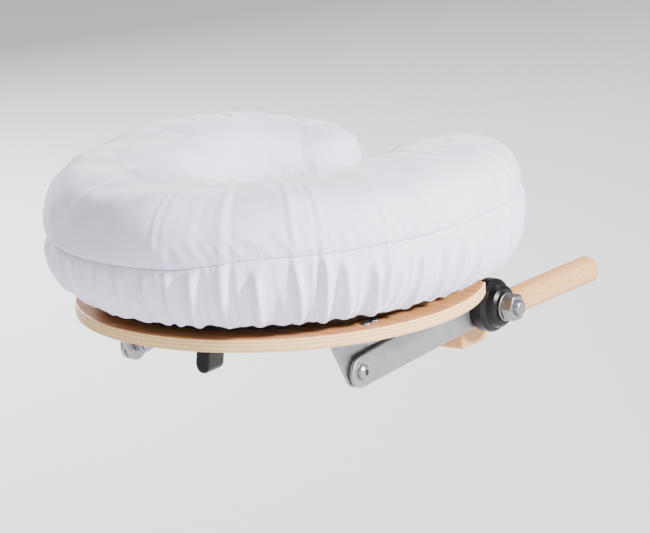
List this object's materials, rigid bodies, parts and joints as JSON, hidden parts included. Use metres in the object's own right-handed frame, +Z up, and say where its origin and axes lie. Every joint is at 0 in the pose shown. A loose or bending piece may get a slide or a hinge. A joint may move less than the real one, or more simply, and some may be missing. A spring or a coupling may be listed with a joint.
{
  "type": "massage table face cradle",
  "caption": "Crescent face cushion in a fitted cotton cover, on a horseshoe plywood platform carried by pivoting flat arms from a crossbar with dowel posts.",
  "frame": {"origin": "middle of the crossbar's rear face, the plane that comes up to the table's end, on the cradle's centre plane", "axes": "+X across the cradle to the side with the hinge nut, +Y out of the crossbar's rear face towards the table, +Z up"},
  "size_m": [0.3132, 0.432, 0.1943],
  "materials": {
    "cotton": "plain-weave white cotton, soft, slightly creased",
    "elastic": "braided white elastic",
    "vinyl": "black polyurethane upholstery, fine grain, satin",
    "soft_foam": "open-cell foam",
    "firm_foam": "closed-cell foam",
    "tape": "hook and loop tape",
    "plywood": "clear-lacquered beech plywood, plies showing at the edge",
    "beech": "clear-lacquered solid beech",
    "aluminium": "satin",
    "steel": "zinc plated, bright",
    "plastic": "moulded black nylon, semi-gloss",
    "nylon": "natural nylon"
  },
  "bodies": {
    "base": {"crossbar": "beech", "post_left": "beech", "post_right": "beech", "hinge_rod": "steel", "friction_disc_left": "plastic", "friction_disc_right": "plastic", "hinge_barrel_left": "plastic", "hinge_barrel_right": "plastic", "hinge_washer_left": "steel", "hinge_washer_right": "steel", "hinge_nut": "steel", "cam_pin": "steel"},
    "arms": {"arm_left": "aluminium", "arm_right": "aluminium", "pivot_bolt_left": "steel", "pivot_bolt_right": "steel", "pivot_washer_left": "nylon", "pivot_washer_right": "nylon", "lock_nut_left": "steel", "lock_nut_right": "steel"},
    "platform": {"platform_ring": "plywood", "ear_bracket_left": "aluminium", "ear_bracket_right": "aluminium", "platform_screw_left_1": "steel", "platform_screw_left_2": "steel", "platform_screw_left_3": "steel", "platform_screw_right_1": "steel", "platform_screw_right_2": "steel", "platform_screw_right_3": "steel", "hook_strip_left": "tape", "hook_strip_front": "tape", "hook_strip_right": "tape"},
    "cushion": {"cover_top_panel": "cotton", "cover_skirt": "cotton", "hem_elastic": "elastic", "vinyl_upholstery": "vinyl", "vinyl_base_panel": "vinyl", "soft_foam_top": "soft_foam", "firm_foam_base": "firm_foam", "loop_strip_left": "tape", "loop_strip_front": "tape", "loop_strip_right": "tape"},
    "lever": {"cam_lever": "plastic"}
  },
  "joints": [
    {"name": "arm_pitch", "type": "hinge", "parent": "base", "child": "arms", "pos_m": [0, -0.016, 0.0085], "axis": [-1, 0, 0], "range_deg": [-35, 38]},
    {"name": "head_tilt", "type": "hinge", "parent": "arms", "child": "platform", "pos_m": [0, -0.166, -0.0025], "axis": [1, 0, 0], "range_deg": [-2, 55]},
    {"name": "cushion_lift", "type": "slide", "parent": "platform", "child": "cushion", "axis": [0, 0, 1], "range_m": [0, 0.12]},
    {"name": "cam_lever_swing", "type": "hinge", "parent": "base", "child": "lever", "pos_m": [-0.125, -0.016, 0.0085], "axis": [0, 1, 0], "range_deg": [0, 100]}
  ]
}
